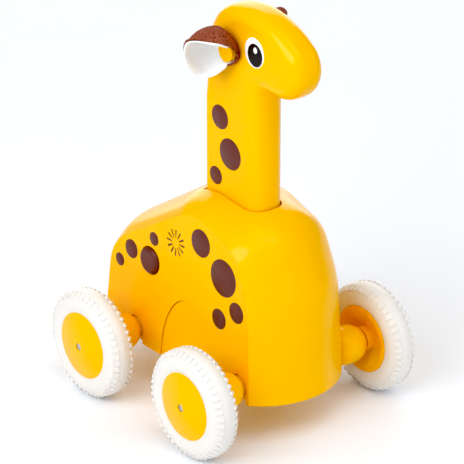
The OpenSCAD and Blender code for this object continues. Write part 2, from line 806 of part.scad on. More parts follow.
module return_spring() {
    count = spring_coils * spring_ring_steps;
    r = spring_wire_d / 2;
    rings = [for (i = [0:count]) let (a = 360 * i / spring_ring_steps) let (c = spring_point(i / count))
        [for (k = [0:spring_sides - 1]) let (b = 360 * k / spring_sides)
            c + r * [cos(b) * cos(a), cos(b) * sin(a), sin(b)]]];
    gaps = [for (i = [0:count - spring_ring_steps])
        norm(spring_point((i + spring_ring_steps) / count) - spring_point(i / count)) - spring_wire_d];
    echo(spring_least_gap = min(gaps));
    color(steel) polyhedron([for (ring = rings) each ring], stack_faces(count + 1, spring_sides));
}

module pinion_gear() {
    sleeve_r = pinion_r - root_depth;
    color(nylon) translate([pinion_x, 0, pinion_z]) difference() {
        union() {
            slab(-pinion_half_t, pinion_half_t) gear_outline(pinion_teeth, 0);
            rod(0, 0, sleeve_r, frame_right_y1 + seat_gap, frame_left_y0 - seat_gap);
            slab(wheel_y0, wheel_y1) gear_outline(wheel_teeth, mesh_angle);
        }
        rod(0, 0, pin_d / 2 + running_gap, -half_w, half_w);
    }
}

module pinion_pin() {
    color(steel) rod(pinion_x, pinion_z, pin_d / 2, frame_right_y0 - pin_out, frame_left_y1 + pin_out);
}

module drive_gear() {
    color(nylon) translate([rear_x, 0, axle_z]) difference() {
        slab(wheel_y0, wheel_y1) gear_outline(drive_teeth, mesh_angle + 180 + 180 / drive_teeth);
        rod(0, 0, axle_d / 2 + running_gap, 0, half_w);
        for (k = [0:2]) rotate([0, 120 * k, 0]) {
            rod(roller_ring_r, 0, roller_r + running_gap, wheel_y0 + pocket_floor, half_w);
            rotate([0, pocket_turn, 0])
                rod(roller_ring_r + pocket_rise, 0, roller_r + pocket_room, wheel_y0 + pocket_floor, half_w);
        }
    }
}

module clutch_rollers() {
    color(steel) translate([rear_x, 0, axle_z]) for (k = [0:2]) rotate([0, 120 * k, 0])
        rod(roller_ring_r, 0, roller_r, wheel_y0 + pocket_floor + end_gap, wheel_y1 - end_gap);
}

module clutch_cap() {
    color(nylon) difference() {
        rod(rear_x, axle_z, roller_ring_r + 2 * roller_r, wheel_y1, wheel_y1 + cap_t);
        rod(rear_x, axle_z, axle_d / 2 + running_gap, 0, half_w);
    }
}

module rear_axle() {
    color(steel) axle(rear_x);
}

module front_axle() {
    color(steel) axle(front_x);
}

module wheel_hub(x, side) {
    color(yellow) on_axle(x, side) hub();
}

module wheel_tyre(x, side) {
    color(tyre_white) on_axle(x, side) tyre();
}

// A domed button with a flange that holds it inside the flank
module squeaker_button() {
    top = flank_y(button_z) + button_out;
    color(brown) translate([button_x, 0, button_z]) rotate([90, 0, 0]) union() {
        translate([0, 0, -button_flange_y]) cylinder(r = button_r, h = top - button_edge_r + button_flange_y);
        translate([0, 0, top - button_edge_r]) rotate_extrude() intersection() {
            square([button_r, button_edge_r]);
            union() {
                square([button_r - button_edge_r, button_edge_r]);
                translate([button_r - button_edge_r, 0]) circle(button_edge_r);
            }
        }
        translate([0, 0, -button_flange_y - button_flange_t])
            cylinder(r = button_flange_r, h = button_flange_t);
    }
}

// A soft bellows between the button and the reed
module squeaker_bellows() {
    front = -button_flange_y - button_flange_t;
    back = -frame_right_y0 + reed_t;
    fold = (front - back) / bellows_folds;
    outer = button_r;
    color(dark_rubber) translate([button_x, 0, button_z]) rotate([90, 0, 0]) rotate_extrude() polygon(concat(
        [[0, front], [0, back]],
        [for (k = [0:bellows_folds - 1])
            each [[outer - bellows_depth, back + k * fold], [outer, back + (k + 0.5) * fold]]],
        [[outer - bellows_depth, front]]
    ));
}

module squeaker_reed() {
    color(nylon) rod(button_x, button_z, button_r, frame_right_y0 - reed_t, frame_right_y0);
}

// Everything to the right of the seat of the right ear, less inset
module ear_side(inset) {
    reach = 4 * ear_depth;
    translate([ear_centre.x - reach, -ear_seat_y - inset - 2 * reach, ear_centre.z - reach])
        cube([2 * reach, 2 * reach, 2 * reach]);
}

// The bowl of the right ear as a solid, drawn in by inset, its mouth reaching past by past
module ear_bowl(inset, past) {
    r = ear_r - inset;
    d = ear_depth - inset;
    translate(ear_centre) rotate([0, 90 + ear_nod, -ear_turn]) rotate_extrude() polygon(concat(
        [for (i = [0:ear_bands]) let (a = 90 * i / ear_bands) [r * sin(a), -d * cos(a)]],
        [[r, ear_lip + past], [0, ear_lip + past]]
    ));
}

// One layer of the right ear, from inset to inset plus t
module ear_layer(inset, t) {
    difference() {
        intersection() {
            ear_bowl(inset, 0);
            ear_side(inset);
        }
        intersection() {
            ear_bowl(inset + t, over);
            ear_side(inset + t);
        }
        rod(ear_button_x, ear_button_z, ear_stem_d / 2, -2 * half_w, 0);
    }
}

module ear_felt() {
    color(felt_brown) ear_layer(0, felt_t);
}

module ear_lining() {
    color(lining_white) ear_layer(felt_t, lining_t);
}

module ear_button() {
    seat = -ear_seat_y - felt_t - lining_t;
    color(yellow) union() {
        rod(ear_button_x, ear_button_z, ear_button_d / 2, seat - ear_button_t, seat);
        rod(ear_button_x, ear_button_z, ear_stem_d / 2, seat, -half_t + neck_wall);
    }
}

body_shell();
belly_chassis();
chassis_screws();
neck_half_left();
neck_half_right();
neck_foot();
neck_foot_screws();
drive_rack();
return_spring();
pinion_gear();
pinion_pin();
drive_gear();
clutch_rollers();
clutch_cap();
rear_axle();
wheel_hub(rear_x, 1);  // rear_hub_left
wheel_hub(rear_x, -1);  // rear_hub_right
wheel_tyre(rear_x, 1);  // rear_tyre_left
wheel_tyre(rear_x, -1);  // rear_tyre_right
front_axle();
wheel_hub(front_x, 1);  // front_hub_left
wheel_hub(front_x, -1);  // front_hub_right
wheel_tyre(front_x, 1);  // front_tyre_left
wheel_tyre(front_x, -1);  // front_tyre_right
squeaker_button();
squeaker_bellows();
squeaker_reed();
mirror([0, 1, 0]) ear_felt();  // ear_felt_left
ear_felt();  // ear_felt_right
mirror([0, 1, 0]) ear_lining();  // ear_lining_left
ear_lining();  // ear_lining_right
mirror([0, 1, 0]) ear_button();  // ear_button_left
ear_button();  // ear_button_right
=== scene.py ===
"""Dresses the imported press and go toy: plastics, prints, soft ears, tyres, works, floor, light and camera.

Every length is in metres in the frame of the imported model: +X forward, +Y to the toy's left, +Z up.
"""
import math
from collections import namedtuple

import bmesh
import bpy
from mathutils import Matrix, Vector, noise


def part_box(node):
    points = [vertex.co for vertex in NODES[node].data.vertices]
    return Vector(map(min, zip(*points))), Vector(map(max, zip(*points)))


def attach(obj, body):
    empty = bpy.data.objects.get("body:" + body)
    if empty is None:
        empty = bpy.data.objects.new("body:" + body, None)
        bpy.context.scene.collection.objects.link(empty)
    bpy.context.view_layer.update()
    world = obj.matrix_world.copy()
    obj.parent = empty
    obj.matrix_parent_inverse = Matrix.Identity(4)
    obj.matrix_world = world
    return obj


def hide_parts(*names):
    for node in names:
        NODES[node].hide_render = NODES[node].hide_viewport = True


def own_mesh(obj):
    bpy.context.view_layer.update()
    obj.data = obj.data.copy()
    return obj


bl_info = {
    "name": "Press and Go Toy",
    "version": (1, 0, 0),
    "blender": (4, 5, 0),
    "location": "3D View > Sidebar > Toy",
    "description": "Dresses the packed frame of a long-necked push toy for rendering",
    "category": "Object",
}

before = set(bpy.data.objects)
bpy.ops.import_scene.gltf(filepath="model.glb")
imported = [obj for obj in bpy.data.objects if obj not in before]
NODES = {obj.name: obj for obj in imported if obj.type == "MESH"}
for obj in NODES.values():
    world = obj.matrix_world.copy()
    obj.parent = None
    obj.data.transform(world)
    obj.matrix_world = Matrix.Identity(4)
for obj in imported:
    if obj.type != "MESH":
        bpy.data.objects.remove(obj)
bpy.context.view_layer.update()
MM = 0.001
SIDES = (("right", -1), ("left", 1))
ENDS = ("front", "rear")


def colour(text):
    """Linear red, green and blue of an sRGB hex value."""
    shares = [int(text[i:i + 2], 16) / 255 for i in (0, 2, 4)]
    return tuple(c / 12.92 if c <= 0.04045 else ((c + 0.055) / 1.055) ** 2.4 for c in shares)


def length_property(name, description, default):
    """A length that a user can change, in metres."""
    return bpy.props.FloatProperty(name=name, description=description, default=default, min=0, unit="LENGTH",
                                   precision=5)


def colour_property(name, description, text):
    """A colour that a user can change, from its sRGB hex value."""
    return bpy.props.FloatVectorProperty(name=name, description=description, default=colour(text), size=3,
                                         min=0, max=1, subtype="COLOR")


class ToySizes(bpy.types.PropertyGroup):
    """Sizes of the pieces that the frame doesn't hold."""
    ink_lift: length_property("Ink lift", "How far the printed ink stands proud of the plastic", 0.05 * MM)
    grille_sink: length_property("Grille sink", "How far the grille's ribs lie below the flank", 0.15 * MM)
    eye_width: length_property("Eye width", "Width of the white of an eye", 14.6 * MM)
    eye_height: length_property("Eye height", "Height of the white of an eye", 15.8 * MM)
    ear_depth: length_property("Ear depth", "Depth of the right ear behind its mouth", 15.8 * MM)
    drooped_depth: length_property("Drooped ear depth", "Depth of the left ear, which droops", 9.0 * MM)
    felt_thickness: length_property("Felt thickness", "Thickness of the ears' outer felt", 0.9 * MM)
    lining_thickness: length_property("Lining thickness", "Thickness of the ears' lining", 0.7 * MM)
    coil_wire: length_property("Spring wire", "Diameter of the return spring's wire", 1.2 * MM)


class ToyColours(bpy.types.PropertyGroup):
    """Colours of the toy's materials and of the floor."""
    shell: colour_property("Shell", "Moulded shell, neck and hubs", "FFBE00")
    print_brown: colour_property("Spots", "Printed spots and the squeaker button", "6C413B")
    eye_white: colour_property("Eye white", "Printed white of the eyes", "FBFAFC")
    eye_black: colour_property("Pupil", "Printed pupil of the eyes", "2D2827")
    tyre: colour_property("Tyre", "Soft tyres", "EBE9E5")
    felt: colour_property("Felt", "Outside of the ears", "935A4A")
    lining: colour_property("Lining", "Inside of the ears", "F8FBFF")
    steel: colour_property("Steel", "Axles, pin and spring", "B9BDC8")
    nylon: colour_property("Nylon", "Gears, rack and neck foot", "E6E3D6")
    rubber: colour_property("Rubber", "Squeaker bellows", "4A4A50")
    floor: colour_property("Floor", "Pale studio floor", "F7FAFF")


# Node helpers


def add_node(tree, kind, values=(), links=(), **settings):
    """Adds a node with its settings, socket values and links from other nodes' sockets."""
    node = tree.nodes.new(kind)
    for name, value in settings.items():
        setattr(node, name, value)
    for socket, value in values:
        node.inputs[socket].default_value = value
    for socket, source in links:
        tree.links.new(source, node.inputs[socket])
    return node


def tinted(rgb, factor):
    """A colour made lighter or darker by a factor, with its alpha."""
    return tuple(min(1.0, c * factor) for c in rgb) + (1.0,)


def new_material(name):
    """An empty material with its shader, its tree and the object's own coordinates in metres."""
    material = bpy.data.materials.new(name)
    material.use_nodes = True
    tree = material.node_tree
    place = add_node(tree, "ShaderNodeTexCoord").outputs["Object"]
    return material, tree, tree.nodes["Principled BSDF"], place


def set_values(shader, **values):
    """Sets the shader's sockets that are the same all over."""
    for name, value in values.items():
        shader.inputs[name.replace("_", " ")].default_value = value


def mottle(tree, place, shader, rgb, size, spread):
    """Colour that wanders a little around rgb, in patches of the given size."""
    patches = add_node(tree, "ShaderNodeTexNoise", [("Scale", 1 / size), ("Detail", 3)], [("Vector", place)])
    ramp = add_node(tree, "ShaderNodeValToRGB", links=[("Fac", patches.outputs["Fac"])])
    ramp.color_ramp.elements[0].position = 0.3
    ramp.color_ramp.elements[0].color = tinted(rgb, 1 - spread)
    ramp.color_ramp.elements[1].position = 0.7
    ramp.color_ramp.elements[1].color = tinted(rgb, 1 + spread)
    tree.links.new(ramp.outputs["Color"], shader.inputs["Base Color"])


def vary_roughness(tree, place, shader, low, high, size):
    """Roughness that wanders between low and high, in patches of the given size."""
    patches = add_node(tree, "ShaderNodeTexNoise", [("Scale", 1 / size), ("Detail", 2)], [("Vector", place)])
    spread = add_node(tree, "ShaderNodeMapRange", [("From Min", 0.3), ("From Max", 0.7), ("To Min", low),
                                                   ("To Max", high)], [("Value", patches.outputs["Fac"])])
    tree.links.new(spread.outputs["Result"], shader.inputs["Roughness"])


def grain(tree, height, shader, depth, strength):
    """Fine relief of the given depth from a height between 0 and 1."""
    bump = add_node(tree, "ShaderNodeBump", [("Strength", strength), ("Distance", depth)], [("Height", height)])
    tree.links.new(bump.outputs["Normal"], shader.inputs["Normal"])


# Materials


def abs_moulded(name, rgb, low=0.18, high=0.25):
    """ABS, injection moulded in a polished tool: glossy, with soft, faint reflections, a trace of ripple from
    the tool's polish and light that goes a little way in, which warms the shaded sides."""
    material, tree, shader, place = new_material(name)
    mottle(tree, place, shader, rgb, size=30 * MM, spread=0.015)
    vary_roughness(tree, place, shader, low=low, high=high, size=9 * MM)
    ripple = add_node(tree, "ShaderNodeTexNoise", [("Scale", 1 / (2.5 * MM)), ("Detail", 1)],
                      [("Vector", place)])
    grain(tree, ripple.outputs["Fac"], shader, depth=0.01 * MM, strength=0.2)
    set_values(shader, IOR=1.53, Specular_IOR_Level=0.3, Subsurface_Weight=0.12, Subsurface_Scale=1.6 * MM,
               Subsurface_Radius=(1.0, 0.55, 0.12))
    return material


def ink_pad_printed(name, rgb):
    """Ink, pad printed on ABS: an even, satin film with fine pinholes from the pad's grain."""
    material, tree, shader, place = new_material(name)
    mottle(tree, place, shader, rgb, size=5 * MM, spread=0.05)
    vary_roughness(tree, place, shader, low=0.34, high=0.46, size=3 * MM)
    pins = add_node(tree, "ShaderNodeTexVoronoi", [("Scale", 1 / (0.5 * MM))], [("Vector", place)])
    grain(tree, pins.outputs["Distance"], shader, depth=0.008 * MM, strength=0.3)
    set_values(shader, IOR=1.5, Specular_IOR_Level=0.35)
    return material


def vinyl_moulded_soft(name, rgb):
    """Plasticised PVC, moulded soft: a milky, nearly matt white that lets light in at thin lugs."""
    material, tree, shader, place = new_material(name)
    mottle(tree, place, shader, rgb, size=14 * MM, spread=0.012)
    vary_roughness(tree, place, shader, low=0.42, high=0.55, size=6 * MM)
    skin = add_node(tree, "ShaderNodeTexNoise", [("Scale", 1 / (0.8 * MM)), ("Detail", 3)], [("Vector", place)])
    grain(tree, skin.outputs["Fac"], shader, depth=0.02 * MM, strength=0.4)
    set_values(shader, IOR=1.52, Subsurface_Weight=0.2, Subsurface_Scale=2 * MM,
               Subsurface_Radius=(1.0, 0.9, 0.8))
    return material


def steel_drawn(name, rgb):
    """Carbon steel, drawn through a die and bright plated: a cool grey with fine lines along its length."""
    material, tree, shader, place = new_material(name)
    along = add_node(tree, "ShaderNodeMapping", [("Scale", (1 / (0.25 * MM), 1 / (9 * MM), 1 / (0.25 * MM)))],
                     [("Vector", place)])
    lines = add_node(tree, "ShaderNodeTexNoise", [("Scale", 1.0), ("Detail", 3)],
                     [("Vector", along.outputs["Vector"])])
    mottle(tree, place, shader, rgb, size=4 * MM, spread=0.06)
    vary_roughness(tree, place, shader, low=0.24, high=0.38, size=2 * MM)
    grain(tree, lines.outputs["Fac"], shader, depth=0.01 * MM, strength=0.4)
    set_values(shader, Metallic=1.0)
    return material


def nylon_moulded(name, rgb):
    """Nylon, injection moulded undyed: a waxy off-white with a dull sheen and a little light inside."""
    material, tree, shader, place = new_material(name)
    mottle(tree, place, shader, rgb, size=8 * MM, spread=0.03)
    vary_roughness(tree, place, shader, low=0.38, high=0.5, size=5 * MM)
    wax = add_node(tree, "ShaderNodeTexNoise", [("Scale", 1 / (0.9 * MM)), ("Detail", 3)], [("Vector", place)])
    grain(tree, wax.outputs["Fac"], shader, depth=0.015 * MM, strength=0.4)
    set_values(shader, IOR=1.53, Subsurface_Weight=0.15, Subsurface_Scale=1.5 * MM)
    return material


def rubber_moulded(name, rgb):
    """Natural rubber, moulded dark: matt, with a powdery bloom in its relief and a tone that wanders in small
    patches.
    """
    material, tree, shader, place = new_material(name)
    mottle(tree, place, shader, rgb, size=3 * MM, spread=0.15)
    vary_roughness(tree, place, shader, low=0.6, high=0.8, size=4 * MM)
    bloom = add_node(tree, "ShaderNodeTexNoise", [("Scale", 1 / (0.6 * MM)), ("Detail", 4)],
                     [("Vector", place)])
    grain(tree, bloom.outputs["Fac"], shader, depth=0.03 * MM, strength=0.5)
    set_values(shader, IOR=1.52)
    return material


def felt_pressed(name, rgb, fibre, spread, depth):
    """Wool-mix felt, pressed: matted fibres that lie all ways, dull, with a soft pale fuzz at the edges.
    The fibres are drawn about four times too coarse, because real ones are too fine to show."""
    material, tree, shader, place = new_material(name)
    warp = add_node(tree, "ShaderNodeTexNoise", [("Scale", 1 / (3 * fibre)), ("Detail", 2)],
                    [("Vector", place)])
    bend = add_node(tree, "ShaderNodeVectorMath", [("Scale", 5 * fibre)], [(0, warp.outputs["Color"])],
                    operation="SCALE")
    bent = add_node(tree, "ShaderNodeVectorMath", links=[(0, place), (1, bend.outputs["Vector"])],
                    operation="ADD")
    strands = add_node(tree, "ShaderNodeTexNoise", [("Scale", 1 / fibre), ("Detail", 6), ("Roughness", 0.7)],
                       [("Vector", bent.outputs["Vector"])])
    ramp = add_node(tree, "ShaderNodeValToRGB", links=[("Fac", strands.outputs["Fac"])])
    ramp.color_ramp.elements[0].position = 0.36
    ramp.color_ramp.elements[0].color = tinted(rgb, 1 - spread)
    ramp.color_ramp.elements[1].position = 0.66
    ramp.color_ramp.elements[1].color = tinted(rgb, 1 + spread)
    tree.links.new(ramp.outputs["Color"], shader.inputs["Base Color"])
    grain(tree, strands.outputs["Fac"], shader, depth=depth, strength=0.9)
    set_values(shader, Roughness=0.95, Specular_IOR_Level=0.15, Sheen_Weight=0.25, Sheen_Roughness=0.5,
               Sheen_Tint=tinted(rgb, 1.3))
    return material


def paper_sweep(name, rgb):
    """Matt white background paper, rolled out flat: even and dull, with a trace of its fibre."""
    material, tree, shader, place = new_material(name)
    mottle(tree, place, shader, rgb, size=60 * MM, spread=0.004)
    fibre = add_node(tree, "ShaderNodeTexNoise", [("Scale", 1 / (1.5 * MM)), ("Detail", 4)],
                     [("Vector", place)])
    grain(tree, fibre.outputs["Fac"], shader, depth=0.02 * MM, strength=0.2)
    set_values(shader, Roughness=0.85, Specular_IOR_Level=0.2)
    return material


# Mesh helpers

# Angles in degrees above which an edge stays sharp: on mouldings, on the shell with its soft creases, on tyres
# and on the pieces made here
MOULDING_EDGE = 35.0
SHELL_EDGE = 24.0
TYRE_EDGE = 40.0
PIECE_EDGE = 40.0
# Distance over which a CAD mesh's split corners are welded
WELD = 0.002 * MM
# How strongly a large face keeps its own direction at its edges
FLATNESS = 60


def link_object(name, mesh, material):
    """A new object in the scene with one material."""
    obj = bpy.data.objects.new(name, mesh)
    bpy.context.scene.collection.objects.link(obj)
    mesh.materials.append(material)
    return obj


def new_piece(name, mesh, material, body, nodes=()):
    """A new piece with one material that rides on a body and stands for the nodes given, which it hides."""
    obj = link_object(name, mesh, material)
    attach(obj, body)
    if nodes:
        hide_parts(*nodes)
    return obj


def mesh_from(name, build, sharp_degrees=PIECE_EDGE):
    """A smooth-shaded mesh filled by build(bm), with edges above the angle kept sharp."""
    bm = bmesh.new()
    build(bm)
    bmesh.ops.recalc_face_normals(bm, faces=bm.faces)
    mesh = bpy.data.meshes.new(name)
    bm.to_mesh(mesh)
    bm.free()
    mesh.shade_smooth()
    mesh.set_sharp_from_angle(angle=math.radians(sharp_degrees))
    return mesh


def join_rings(bm, rings):
    """Faces between rings of vertices, each ring closed on itself."""
    for low, high in zip(rings, rings[1:]):
        for i in range(len(low)):
            k = (i + 1) % len(low)
            bm.faces.new((low[i], low[k], high[k], high[i]))


def around(steps):
    """Cosine and sine of evenly spaced angles, once round."""
    return [(math.cos(2 * math.pi * i / steps), math.sin(2 * math.pi * i / steps)) for i in range(steps)]


def shading_group():
    """Geometry nodes that weld a CAD mesh's split corners and shade it smooth below the angle given."""
    group = bpy.data.node_groups.new("moulded_shading", "GeometryNodeTree")
    group.interface.new_socket("Geometry", in_out="INPUT", socket_type="NodeSocketGeometry")
    group.interface.new_socket("Angle", in_out="INPUT", socket_type="NodeSocketFloat")
    group.interface.new_socket("Geometry", in_out="OUTPUT", socket_type="NodeSocketGeometry")
    inward = add_node(group, "NodeGroupInput")
    welded = add_node(group, "GeometryNodeMergeByDistance", [("Distance", WELD)],
                      [("Geometry", inward.outputs["Geometry"])])
    bare = add_node(group, "GeometryNodeRemoveAttribute", [("Name", "custom_normal")],
                    [("Geometry", welded.outputs["Geometry"])])
    smooth = add_node(group, "GeometryNodeSetShadeSmooth", [("Shade Smooth", True)],
                      [("Geometry", bare.outputs["Geometry"])], domain="FACE")
    angle = add_node(group, "GeometryNodeInputMeshEdgeAngle")
    sharp = add_node(group, "FunctionNodeCompare", links=[(0, angle.outputs["Unsigned Angle"]),
                                                          (1, inward.outputs["Angle"])],
                     data_type="FLOAT", operation="GREATER_THAN")
    creased = add_node(group, "GeometryNodeSetShadeSmooth", [("Shade Smooth", False)],
                       [("Geometry", smooth.outputs["Geometry"]), ("Selection", sharp.outputs["Result"])],
                       domain="EDGE")
    add_node(group, "NodeGroupOutput", links=[("Geometry", creased.outputs["Geometry"])])
    return group


def dress_node(name, material, degrees=MOULDING_EDGE):
    """Gives a CAD node its material, and shading that keeps only its real edges sharp."""
    node = NODES[name]
    node.data.materials.clear()
    node.data.materials.append(material)
    group = bpy.data.node_groups.get("moulded_shading") or shading_group()
    shading = node.modifiers.new("Moulded shading", "NODES")
    shading.node_group = group
    angle = next(item.identifier for item in group.interface.items_tree if item.name == "Angle")
    shading[angle] = math.radians(degrees)
    weighted = node.modifiers.new("Flat faces stay flat", "WEIGHTED_NORMAL")
    weighted.keep_sharp = True
    weighted.weight = FLATNESS


# Plastic shell, neck, hubs and small mouldings


class TOY_OT_shell(bpy.types.Operator):
    """Gives the moulded shell, chassis, neck, hubs, ear buttons and squeaker button their plastics"""
    bl_idname = "toy.shell"
    bl_label = "Shell and mouldings"

    def execute(self, context):
        colours = context.scene.toy_colours
        yellow = abs_moulded("abs_moulded_yellow", colours.shell)
        brown = abs_moulded("abs_moulded_brown", colours.print_brown, low=0.28, high=0.4)
        for name in ("body_shell", "neck_half_left", "neck_half_right"):
            dress_node(name, yellow, SHELL_EDGE)
        for name in ("belly_chassis", "ear_button_left", "ear_button_right"):
            dress_node(name, yellow)
        for end in ENDS:
            for side, _ in SIDES:
                dress_node(f"{end}_hub_{side}", yellow)
        dress_node("squeaker_button", brown)
        return {"FINISHED"}


# Printed spots and eyes

# Spots on a flank: forward place, height and radius, in millimetres
BODY_SPOTS = ((-55.8, 62.9, 3.6), (-46.2, 72.3, 5.2), (-27.5, 84.7, 3.7), (10.4, 96.2, 7.5),
              (28.9, 83.8, 10.0), (26.3, 60.3, 5.5), (39.8, 68.7, 5.6))
# The spot on the left flank where the right one has its squeaker button
BUTTON_SPOT = (-30.4, 71.5, 7.5)
# Spots on the side of the neck: forward place, height and radius, in millimetres
NECK_SPOTS = ((2.8, 157.7, 6.5), (10.9, 140.0, 8.4), (-0.5, 124.7, 4.9))
# Middle of an eye on the side of the head: forward place and height, in millimetres
EYE_PLACE = (29.6, 200.7)
# Pupil and glint: place from the middle of the eye and half-axes, as shares of the eye's half-width and height
PUPIL = (0.08, -0.157, 0.783, 0.775)
GLINT = (0.11, 0.181, 0.2, 0.22)
# Steps round a printed disc, the width of its tapered edge and how far that edge goes into the plastic
PRINT_STEPS = 72
PRINT_TAPER = 0.12 * MM
PRINT_ROOT = 0.02 * MM
# How far the flanks lean in, the shell's box and the distance out to the flat side of the neck
FLANK_LEAN = math.radians(1.8)
SHELL_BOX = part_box("body_shell")
NECK_SIDE_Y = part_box("neck_half_left")[1].y


def flank_point(side, x, z, lift):
    """Point over a flank at (x, z), lifted off it; side is -1 for right and 1 for left."""
    y = SHELL_BOX[1].y - math.tan(FLANK_LEAN) * (z - SHELL_BOX[0].z)
    return Vector((x, side * (y + lift * math.cos(FLANK_LEAN)), z + lift * math.sin(FLANK_LEAN)))


def neck_point(side, x, z, lift):
    """Point over the flat side of the neck or head at (x, z), lifted off it."""
    return Vector((x, side * (NECK_SIDE_Y + lift), z))


def add_print(bm, place, side, x, z, half_x, half_z, lift):
    """One printed disc: a film whose edge tapers down into the plastic."""
    rings = []
    for inset, height in ((0.0, -PRINT_ROOT), (PRINT_TAPER, lift)):
        rings.append([bm.verts.new(place(side, x + (half_x - inset) * c, z + (half_z - inset) * s, height))
                      for c, s in around(PRINT_STEPS)])
    join_rings(bm, rings)
    bm.faces.new(rings[0])
    bm.faces.new(rings[-1])


def add_spots(bm, place, side, spots, lift):
    """Round prints from a list of places and radii in millimetres."""
    for x, z, radius in spots:
        add_print(bm, place, side, x * MM, z * MM, radius * MM, radius * MM, lift)


class TOY_OT_prints(bpy.types.Operator):
    """Prints the spots on the flanks and the neck"""
    bl_idname = "toy.prints"
    bl_label = "Printed spots"

    def execute(self, context):
        lift = context.scene.toy_sizes.ink_lift
        ink = ink_pad_printed("ink_pad_printed_brown", context.scene.toy_colours.print_brown)
        for name, side in SIDES:
            spots = BODY_SPOTS if side < 0 else BODY_SPOTS + (BUTTON_SPOT,)
            mesh = mesh_from(f"body_spots_{name}", lambda bm: add_spots(bm, flank_point, side, spots, lift))
            new_piece(f"body_spots_{name}", mesh, ink, "body")
            mesh = mesh_from(f"neck_spots_{name}", lambda bm: add_spots(bm, neck_point, side, NECK_SPOTS, lift))
            new_piece(f"neck_spots_{name}", mesh, ink, "head_neck")
        return {"FINISHED"}


class TOY_OT_eyes(bpy.types.Operator):
    """Prints the eyes: white, pupil and glint, one film on another"""
    bl_idname = "toy.eyes"
    bl_label = "Printed eyes"

    def execute(self, context):
        sizes = context.scene.toy_sizes
        colours = context.scene.toy_colours
        white = ink_pad_printed("ink_pad_printed_white", colours.eye_white)
        black = ink_pad_printed("ink_pad_printed_black", colours.eye_black)
        half_x, half_z = sizes.eye_width / 2, sizes.eye_height / 2
        layers = (("eye_white", (0.0, 0.0, 1.0, 1.0), white, 1), ("eye_pupil", PUPIL, black, 2),
                  ("eye_glint", GLINT, white, 3))
        for name, side in SIDES:
            for layer, (dx, dz, wide, high), ink, films in layers:
                x = EYE_PLACE[0] * MM + dx * half_x
                z = EYE_PLACE[1] * MM + dz * half_z
                lift = films * sizes.ink_lift
                mesh = mesh_from(layer, lambda bm: add_print(bm, neck_point, side, x, z, wide * half_x,
                                                             high * half_z, lift))
                new_piece(f"{layer}_{name}", mesh, ink, "head_neck")
        return {"FINISHED"}


# Sound slots and bellows

# Middle of the ring of sound slots, forward and up in millimetres, and how many slots it has
SLOT_PLACE = (-9.7, 89.1)
SLOT_COUNT = 12
# A slot's inner and outer end: distance from the ring's middle and half-width, in millimetres
SLOT_ENDS = ((2.9, 0.33), (7.2, 0.58))
# Thickness of the wall that the slots go through
SLOT_WALL = 2.2 * MM
# The grille's plate: radius, thickness, gap from the wall, chamfer and steps round it
GRILLE_RADIUS = 8.2 * MM
GRILLE_PLATE = 1.2 * MM
GRILLE_GAP = 0.1 * MM
GRILLE_CHAMFER = 0.3 * MM
GRILLE_STEPS = 48
# The bellows: how deep its folds are, how many, and the steps along and round it
BELLOWS_FOLD = 2 * MM
BELLOWS_FOLDS = 3
BELLOWS_ROWS = 36
BELLOWS_STEPS = 48


def add_grille(bm, sink):
    """The brown insert behind the right flank whose ribs fill the sound slots."""
    x0, z0 = (v * MM for v in SLOT_PLACE)
    back = -SLOT_WALL - GRILLE_GAP
    rings = []
    for radius, lift in ((GRILLE_RADIUS, back - GRILLE_PLATE), (GRILLE_RADIUS, back - GRILLE_CHAMFER),
                         (GRILLE_RADIUS - GRILLE_CHAMFER, back)):
        rings.append([bm.verts.new(flank_point(-1, x0 + radius * c, z0 + radius * s, lift))
                      for c, s in around(GRILLE_STEPS)])
    join_rings(bm, rings)
    bm.faces.new(rings[0])
    bm.faces.new(rings[-1])
    for c, s in around(SLOT_COUNT):
        out = Vector((c, s))
        across = Vector((-s, c))
        (inner, inner_half), (outer, outer_half) = SLOT_ENDS
        corners = [out * inner - across * inner_half, out * outer - across * outer_half,
                   out * outer + across * outer_half, out * inner + across * inner_half]
        levels = [[bm.verts.new(flank_point(-1, x0 + p.x * MM, z0 + p.y * MM, lift)) for p in corners]
                  for lift in (back - GRILLE_PLATE / 3, -sink)]
        join_rings(bm, levels)
        bm.faces.new(levels[0])
        bm.faces.new(levels[-1])


def add_bellows(bm):
    """A closed bellows with round folds, along Y, in the space of its CAD solid."""
    low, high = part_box("squeaker_bellows")
    middle = (low + high) / 2
    outer = (high.x - low.x) / 2
    rings = []
    for j in range(BELLOWS_ROWS + 1):
        share = j / BELLOWS_ROWS
        radius = outer - BELLOWS_FOLD / 2 * (1 + math.cos(2 * math.pi * BELLOWS_FOLDS * share))
        y = low.y + (high.y - low.y) * share
        rings.append([bm.verts.new((middle.x + radius * c, y, middle.z + radius * s))
                      for c, s in around(BELLOWS_STEPS)])
    join_rings(bm, rings)
    bm.faces.new(rings[0])
    bm.faces.new(rings[-1])


class TOY_OT_squeaker(bpy.types.Operator):
    """Makes the sound slots' insert and the soft bellows behind the squeaker button"""
    bl_idname = "toy.squeaker"
    bl_label = "Squeaker"

    def execute(self, context):
        sizes = context.scene.toy_sizes
        colours = context.scene.toy_colours
        brown = abs_moulded("abs_moulded_brown_matt", colours.print_brown, low=0.4, high=0.5)
        mesh = mesh_from("slot_grille", lambda bm: add_grille(bm, sizes.grille_sink))
        new_piece("slot_grille", mesh, brown, "body")
        rubber = rubber_moulded("rubber_moulded_dark", colours.rubber)
        mesh = mesh_from("bellows", add_bellows)
        bellows = new_piece("bellows", mesh, rubber, "body", ["squeaker_bellows"])
        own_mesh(bellows)
        dress_node("squeaker_reed", nylon_moulded("nylon_moulded_reed", colours.nylon))
        return {"FINISHED"}


# Tyres


